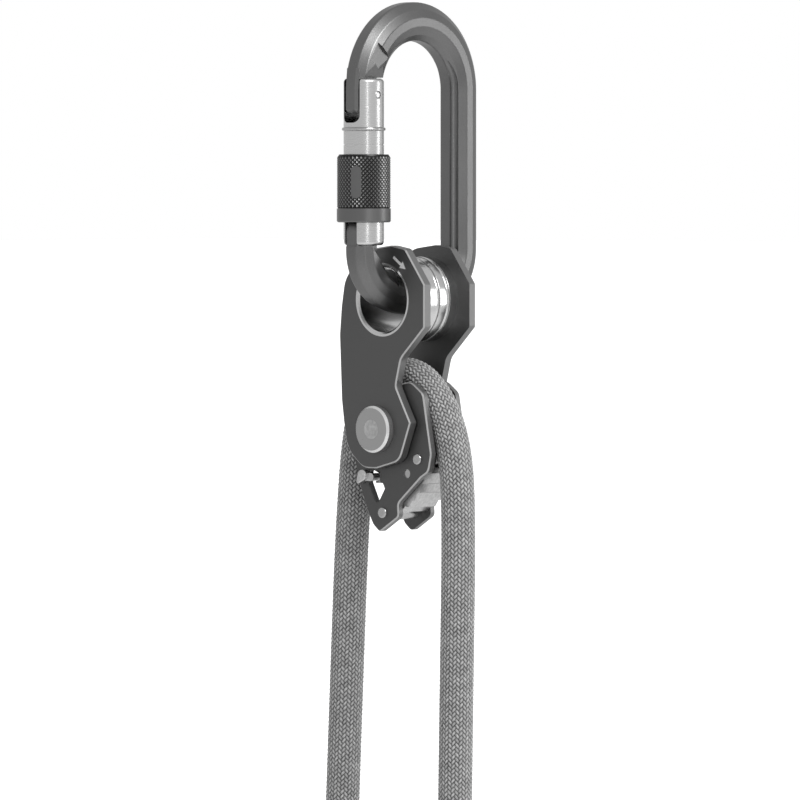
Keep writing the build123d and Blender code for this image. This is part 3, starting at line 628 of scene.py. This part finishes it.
def along(points, spacing):
    """Centres, unit directions and places of rings, at even steps along a line."""
    steps = np.linalg.norm(np.diff(points, axis=0), axis=1)
    reach = np.concatenate([[0], np.cumsum(steps)])
    count = round(reach[-1] / spacing) + 1
    places = np.linspace(0, reach[-1], count)
    centres = np.column_stack([np.interp(places, reach, points[:, k]) for k in range(3)])
    ways = np.gradient(centres, axis=0)
    ways /= np.linalg.norm(ways, axis=1)[:, None]
    return centres, ways, places


def braid(around, lengthwise, settings):
    """Height, 0 to 1, of the same stitches as the sheath's material draws."""
    columns = around * settings.columns / 2
    pitches = lengthwise / settings.strand_pitch
    right, left = 2 * (pitches + columns), 2 * (pitches - columns)
    over = (np.floor(right) - np.floor(left)) % 4 < 1.5
    across = np.where(over, right, left) % 1
    reach = np.where(over, np.floor(right) - left + 1, right - np.floor(left) - 2) % 4 - 1
    crown = np.sin(math.pi * across) * np.cos(math.pi / 2 * reach)
    return np.sqrt(np.clip(crown, 0, 1))


class PULLEY_OT_rope(bpy.types.Operator):
    """Model the braided rope along its route"""

    bl_idname = "pulley.rope"
    bl_label = "Rope"

    def execute(self, context):
        settings = context.scene.pulley_rope
        ring = POINTS_PER_COLUMN * settings.columns
        spacing = settings.strand_pitch / RINGS_PER_PITCH
        centres, ways, places = along(route_line(), spacing)
        angles = np.arange(ring) / ring
        turn = angles * 2 * math.pi
        # The route lies in one plane, so the same way is sideways at every ring.
        side = np.array([0.0, 1.0, 0.0])
        lengthwise, around = np.meshgrid(places, angles, indexing="ij")
        height = braid(around, lengthwise, settings)
        radius = settings.diameter / 2 - settings.relief * (1 - height)
        out = np.cross(ways, side)
        rings = centres[:, None, :] + radius[:, :, None] * (
            np.cos(turn)[None, :, None] * side[None, None, :]
            + np.sin(turn)[None, :, None] * out[:, None, :]
        )
        rows = len(centres)
        first = np.arange((rows - 1) * ring).reshape(rows - 1, ring)
        beside = np.roll(first, -1, axis=1)
        quads = np.stack([first, first + ring, beside + ring, beside], axis=-1)
        faces = quads.reshape(-1, 4).tolist()
        faces.append(list(range(ring)))
        faces.append(list(range(rows * ring - 1, (rows - 1) * ring - 1, -1)))
        mesh = bpy.data.meshes.new("rope_braid")
        mesh.from_pydata(rings.reshape(-1, 3).tolist(), [], faces)
        self.map_braid(mesh, quads.shape[:2], places, settings)
        mesh.shade_smooth()
        piece = bpy.data.objects.new("rope_braid", mesh)
        context.scene.collection.objects.link(piece)
        activate(piece)
        start_edit()
        close_edit()
        dress(piece, braided_sheath("rope_yarn", settings))
        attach(piece, "pulley_frame")
        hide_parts("rope")
        return {"FINISHED"}

    def map_braid(self, mesh, size, places, settings):
        """A map of the sheath: pairs of columns round it, strand pitches along it."""
        rows, ring = size
        lap = np.arange(ring + 1) * settings.columns / 2 / ring
        rise = places / settings.strand_pitch
        corners = np.zeros((rows, ring, 4, 2))
        corners[..., 0] = np.stack([lap[:-1], lap[:-1], lap[1:], lap[1:]], axis=-1)
        steps = np.stack([rise[:-1], rise[1:], rise[1:], rise[:-1]], axis=-1)
        corners[..., 1] = steps[:, None]
        layer = mesh.uv_layers.new(name="braid")
        values = np.zeros((len(mesh.loops), 2))
        values[: rows * ring * 4] = corners.reshape(-1, 2)
        layer.data.foreach_set("uv", values.ravel())


# ---------------------------------------------------------------- screw sleeve
class PULLEY_OT_screw_sleeve(bpy.types.Operator):
    """Model the screw sleeve with its diamond knurl, plain band and smooth pad"""

    bl_idname = "pulley.screw_sleeve"
    bl_label = "Screw sleeve"

    def execute(self, context):
        settings = context.scene.pulley_sleeve
        material = knurled_metal("anodised_sleeve", context.scene.pulley_finish.sleeve,
                                 settings.tooth)
        piece = self.knurled_shell(settings)
        pad = self.pad(settings)
        for part in (piece, pad):
            dress(part, material)
            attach(part, "sleeve")
        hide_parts("screw_sleeve")
        return {"FINISHED"}

    def knurled_shell(self, settings):
        """The shell: a circle extruded row by row, then raised to a diamond knurl."""
        root = SLEEVE_R - settings.tooth
        cell = math.tau * SLEEVE_R / settings.teeth
        knurl_low = SLEEVE_LOW.z + settings.band
        knurl_high = SLEEVE_HIGH.z - RIM
        rows = round((knurl_high - knurl_low) / cell)
        deselect()
        bpy.ops.mesh.primitive_circle_add(
            vertices=settings.teeth, radius=root,
            location=(SLEEVE_AXIS.x, SLEEVE_AXIS.y, knurl_low),
        )
        piece = named("sleeve_shell")
        start_edit()
        bpy.ops.mesh.select_all(action="SELECT")
        for _ in range(rows):
            extrude((knurl_high - knurl_low) / rows)
        bpy.ops.mesh.select_mode(type="FACE")
        bpy.ops.mesh.select_all(action="SELECT")
        end_edit()
        straight = {tuple(sorted(e.vertices)) for e in piece.data.edges}
        start_edit()
        bpy.ops.mesh.poke(offset=0)
        low, high = knurl_low + cell / 4, knurl_high - cell / 4

        def inner(e):
            """An edge of the first grid, away from its two open rims."""
            height = sum(piece.data.vertices[v].co.z for v in e.vertices) / 2
            return tuple(sorted(e.vertices)) in straight and low < height < high

        select_in(piece, "edges", inner)
        bpy.ops.mesh.dissolve_edges(use_verts=False)
        select_in(piece, "polygons", lambda f: len(f.vertices) == 4)
        bpy.ops.mesh.poke(offset=settings.tooth)
        self.ends(piece, root, knurl_low, knurl_high)
        close_edit(0.1 * NEAR)
        bpy.ops.object.shade_smooth_by_angle(angle=KNURL_CREASE)
        return piece

    def ends(self, piece, root, knurl_low, knurl_high):
        """The plain band, the rounded rims and the bore, from the two open edges."""
        bore = GATE_R + GATE_GAP
        relief = RING_R + RING_GAP
        band = SLEEVE_LOW.z - knurl_low
        # Each step of an end's outline is a rise and the radius after it.
        upper = [
            (0.0, SLEEVE_R - RIM), (RIM, SLEEVE_R - 1.4 * RIM), (0.0, relief),
            (NARROW_BORE - (SLEEVE_HIGH.z - SLEEVE_LOW.z), relief), (0.0, bore),
        ]
        lower = [
            (0.0, SLEEVE_R), (band + RIM, SLEEVE_R), (-0.6 * RIM, SLEEVE_R - 0.3 * RIM),
            (-0.4 * RIM, SLEEVE_R - RIM), (0.0, bore),
        ]
        for place, steps in ((knurl_high, upper), (knurl_low, lower)):
            select_edges(piece, lambda co: abs(co.z - place) < NEAR)
            radius = root
            for rise, wanted in steps:
                extrude(rise)
                share = wanted / radius
                bpy.ops.transform.resize(
                    value=(share, share, 1), center_override=SLEEVE_AXIS
                )
                radius = wanted
        # The bore joins the two ends.
        reach = bore + 2 * NEAR
        select_edges(piece, lambda co: (co.xy - SLEEVE_AXIS.xy).length < reach)
        bpy.ops.mesh.bridge_edge_loops()

    def pad(self, settings):
        """The smooth pad: a rounded patch laid on the knurl."""
        deselect()
        bpy.ops.mesh.primitive_grid_add(
            x_subdivisions=10, y_subdivisions=30, size=1,
            rotation=(math.pi / 2, 0, 0),
        )
        bpy.ops.transform.resize(value=(settings.pad_width, 1, settings.pad_height))
        pad = named("sleeve_pad")
        half = settings.pad_width / 2
        straight = settings.pad_height / 2 - half
        middle = SLEEVE_AXIS.z + PAD_RISE
        radius = SLEEVE_R - PAD_SINK
        for vertex in pad.data.vertices:
            x, z = vertex.co.x, vertex.co.z
            past = max(0.0, abs(z) - straight)
            limit = math.sqrt(max(0.0, half * half - past * past))
            x *= limit / half
            angle = settings.pad_turn + x / SLEEVE_R
            vertex.co = (
                SLEEVE_AXIS.x + radius * math.sin(angle),
                SLEEVE_AXIS.y - radius * math.cos(angle),
                middle + z,
            )
        start_edit()
        close_edit(0.5 * NEAR)
        thicken(pad, PAD_WALL)
        bpy.ops.object.shade_smooth_by_angle(angle=PAD_CREASE)
        return pad


# ---------------------------------------------------------------- arrow mark
class PULLEY_OT_arrow_mark(bpy.types.Operator):
    """Model the plain arrow that is printed beside the front plate's eye"""

    bl_idname = "pulley.arrow_mark"
    bl_label = "Arrow mark"

    def execute(self, context):
        tail, tip = (
            Vector((EYE.x + right, 0, EYE.z + up))
            for right, up in (ARROW_TAIL, ARROW_TIP)
        )
        way = tip - tail
        slope = math.atan2(way.z, way.x)
        shaft = way.length - ARROW_HEAD
        deselect()
        bpy.ops.mesh.primitive_plane_add(size=1, rotation=(math.pi / 2, 0, 0))
        mark = named("plate_arrow")
        start_edit()
        bpy.ops.mesh.select_all(action="SELECT")
        bpy.ops.transform.resize(value=(shaft, 1, ARROW_SHAFT))
        bpy.ops.transform.translate(value=(-ARROW_HEAD / 2, 0, 0))
        shoulder = (shaft - ARROW_HEAD) / 2
        select_edges(mark, lambda co: co.x > shoulder - NEAR)
        extrude(0)
        bpy.ops.transform.resize(value=(1, 1, HEAD_SPREAD), center_override=(0, 0, 0))
        extrude(0, ARROW_HEAD)
        bpy.ops.transform.resize(value=(1, 1, POINT_SPREAD), center_override=(0, 0, 0))
        bpy.ops.mesh.select_all(action="SELECT")
        bpy.ops.transform.rotate(
            value=slope, orient_axis="Y", center_override=(0, 0, 0)
        )
        bpy.ops.transform.translate(
            value=(tail + tip) / 2 + Vector((0, PLATE_FACE - PAINT, 0))
        )
        close_edit()
        thicken(mark, PAINT)
        dress(mark, worn_paint("mark_paint", context.scene.pulley_finish.paint))
        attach(mark, "pulley_frame")
        return {"FINISHED"}


# ---------------------------------------------------------------- finishes
class PULLEY_OT_finishes(bpy.types.Operator):
    """Give each CAD piece its finish"""

    bl_idname = "pulley.finishes"
    bl_label = "Finishes"

    def execute(self, context):
        settings = context.scene.pulley_finish
        plate = edged_plate(
            "anodised_plate", settings.plate, settings.cut_edge, settings.chamfer
        )
        cheek = edged_plate(
            "anodised_cheek", settings.cheek, settings.cut_edge, settings.chamfer
        )
        rod = grainy_metal("anodised_rod", settings.rod, 0.34, 2400.0, 0.16)
        silver = turned_metal("silver_gate", settings.silver, 0.24, GATE, 0)
        spool = turned_metal("polished_spool", settings.silver, 0.18, EYE, 1)
        steel = turned_metal("turned_steel", settings.steel, 0.3, AXLE, 1)
        # The washers are plain steel: their faces at 0.8 of the steel are painted shade
        # and their chamfers at 1.6 times are a painted highlight on the rim.
        washer = edged_plate(
            "washer_steel", shade(settings.steel, 0.8), settings.steel,
            shade(settings.steel, 1.6), 0.3
        )
        upset = grainy_metal("upset_steel", settings.steel, 0.3, 900.0, 0.9, 0.4)
        rivet = grainy_metal("rivet_steel", settings.steel, 0.26, 1800.0, 0.1)
        cast = grainy_metal("cast_steel", settings.cast, 0.3, 1300.0, 0.6, 0.3)
        bronze = grainy_metal("bush_bronze", settings.bronze, 0.35)
        shrunk = shrink_sleeve("end_sleeve", settings.sleeve_plastic)
        finishes = {
            plate: ["front_side_plate", "back_side_plate"],
            cheek: ["front_cheek", "back_cheek"],
            rod: ["carabiner_body"],
            silver: ["gate"],
            spool: ["eye_spool"],
            steel: ["front_spacer_washer", "back_spacer_washer", "sheave"],
            washer: ["front_axle_washer", "back_axle_washer"],
            upset: ["sheave_axle"],
            rivet: [
                "gate_hinge_pin", "gate_latch_pin", "gate_pusher", "gate_spring",
                "gate_snap_ring", "cam_pivot_rivet", "cam_stop_pin", "cam_spring",
                "lower_rivet", "lower_spacer",
            ],
            cast: ["toothed_cam"],
            bronze: ["sheave_bush"],
            shrunk: ["rope_end_left", "rope_end_right"],
        }
        for material, nodes in finishes.items():
            for node in nodes:
                dress(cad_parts[node], material)
        return {"FINISHED"}


# ---------------------------------------------------------------- stage
class PULLEY_OT_stage(bpy.types.Operator):
    """Set up the floor, the room, the lamps and the camera"""

    bl_idname = "pulley.stage"
    bl_label = "Stage"

    def execute(self, context):
        settings = context.scene.pulley_stage
        context.scene.view_settings.view_transform = "Standard"
        self.room(context.scene, settings)
        self.floor(settings)
        aim = Vector(settings.aim)
        for name, (offset, size) in LAMPS.items():
            self.lamp(name, offset, aim, size, getattr(settings, name))
        self.camera(context.scene, settings, aim)
        return {"FINISHED"}

    def room(self, scene, settings):
        """A plain room: white to the camera, dimmer as a light and in reflections."""
        world = bpy.data.worlds.new("room")
        world.use_nodes = True
        scene.world = world
        background = world.node_tree.nodes["Background"]
        background.inputs["Color"].default_value = (1, 1, 1, 1)
        seen = add_node(world, "ShaderNodeLightPath").outputs
        through = math_node(
            world, "MAXIMUM", seen["Is Camera Ray"], seen["Is Transmission Ray"]
        )
        lit = rescale(
            world, seen["Is Glossy Ray"], (0, 1), (settings.ambient, settings.shine)
        )
        level = math_node(world, "MAXIMUM", through, lit)
        join(world, level, background.inputs["Strength"])

    def floor(self, settings):
        """A pale floor that glows to the camera, to stay as light as the room."""
        deselect()
        bpy.ops.mesh.primitive_plane_add(
            size=FLOOR_SIZE, location=(0, 0, CAD_BOX[0].z - settings.floor_drop)
        )
        floor = named("floor")
        material, shader = shader_of("pale_floor", grey(0.9), 0.0, 0.9)
        shader.inputs["Emission Color"].default_value = (1, 1, 1, 1)
        seen = add_node(material, "ShaderNodeLightPath")
        glow = math_node(material, "MULTIPLY", seen.outputs["Is Camera Ray"], FLOOR_GLOW)
        join(material, glow, shader.inputs["Emission Strength"])
        dress(floor, material)

    def lamp(self, name, offset, aim, size, watts):
        """An area lamp that faces the middle of the view."""
        light = bpy.data.lights.new(name, "AREA")
        light.shape = "RECTANGLE"
        light.size, light.size_y = size
        light.energy = watts
        lamp = bpy.data.objects.new(name, light)
        lamp.location = aim + Vector(offset)
        lamp.rotation_euler = (aim - lamp.location).to_track_quat("-Z", "Y").to_euler()
        bpy.context.scene.collection.objects.link(lamp)

    def camera(self, scene, settings, aim):
        """The camera, with the lens that gives the view its height."""
        data = bpy.data.cameras.new("camera")
        data.sensor_width = SENSOR_WIDTH
        data.lens = data.sensor_width * settings.distance / settings.view_height
        camera = bpy.data.objects.new("camera", data)
        back = Vector((
            math.sin(settings.azimuth) * math.cos(settings.tilt),
            -math.cos(settings.azimuth) * math.cos(settings.tilt),
            math.sin(settings.tilt),
        ))
        camera.location = aim + settings.distance * back
        camera.rotation_euler = (-back).to_track_quat("-Z", "Y").to_euler()
        scene.collection.objects.link(camera)
        scene.camera = camera


class PULLEY_PT_panel(bpy.types.Panel):
    """Shows the pulley's operators and their settings"""

    bl_idname = "PULLEY_PT_panel"
    bl_label = "Rope Pulley"
    bl_space_type = "VIEW_3D"
    bl_region_type = "UI"
    bl_category = "Rope Pulley"

    def draw(self, context):
        for operator in OPERATORS:
            self.layout.operator(operator.bl_idname)
        for group in SETTINGS:
            for name in SETTINGS[group].__annotations__:
                self.layout.prop(getattr(context.scene, group), name)


SETTINGS = {
    "pulley_stage": StageSettings,
    "pulley_rope": RopeSettings,
    "pulley_sleeve": SleeveSettings,
    "pulley_finish": FinishSettings,
}
OPERATORS = (
    PULLEY_OT_stage,
    PULLEY_OT_rope,
    PULLEY_OT_screw_sleeve,
    PULLEY_OT_arrow_mark,
    PULLEY_OT_finishes,
)


def register():
    for item in (*SETTINGS.values(), *OPERATORS, PULLEY_PT_panel):
        bpy.utils.register_class(item)
    for name, settings in SETTINGS.items():
        setattr(bpy.types.Scene, name, PointerProperty(type=settings))


def unregister():
    for name in SETTINGS:
        delattr(bpy.types.Scene, name)
    for item in reversed((*SETTINGS.values(), *OPERATORS, PULLEY_PT_panel)):
        bpy.utils.unregister_class(item)


def main():
    register()
    bpy.ops.pulley.stage()
    bpy.ops.pulley.rope()
    bpy.ops.pulley.screw_sleeve()
    bpy.ops.pulley.arrow_mark()
    bpy.ops.pulley.finishes()


if __name__ == "__main__":
    main()
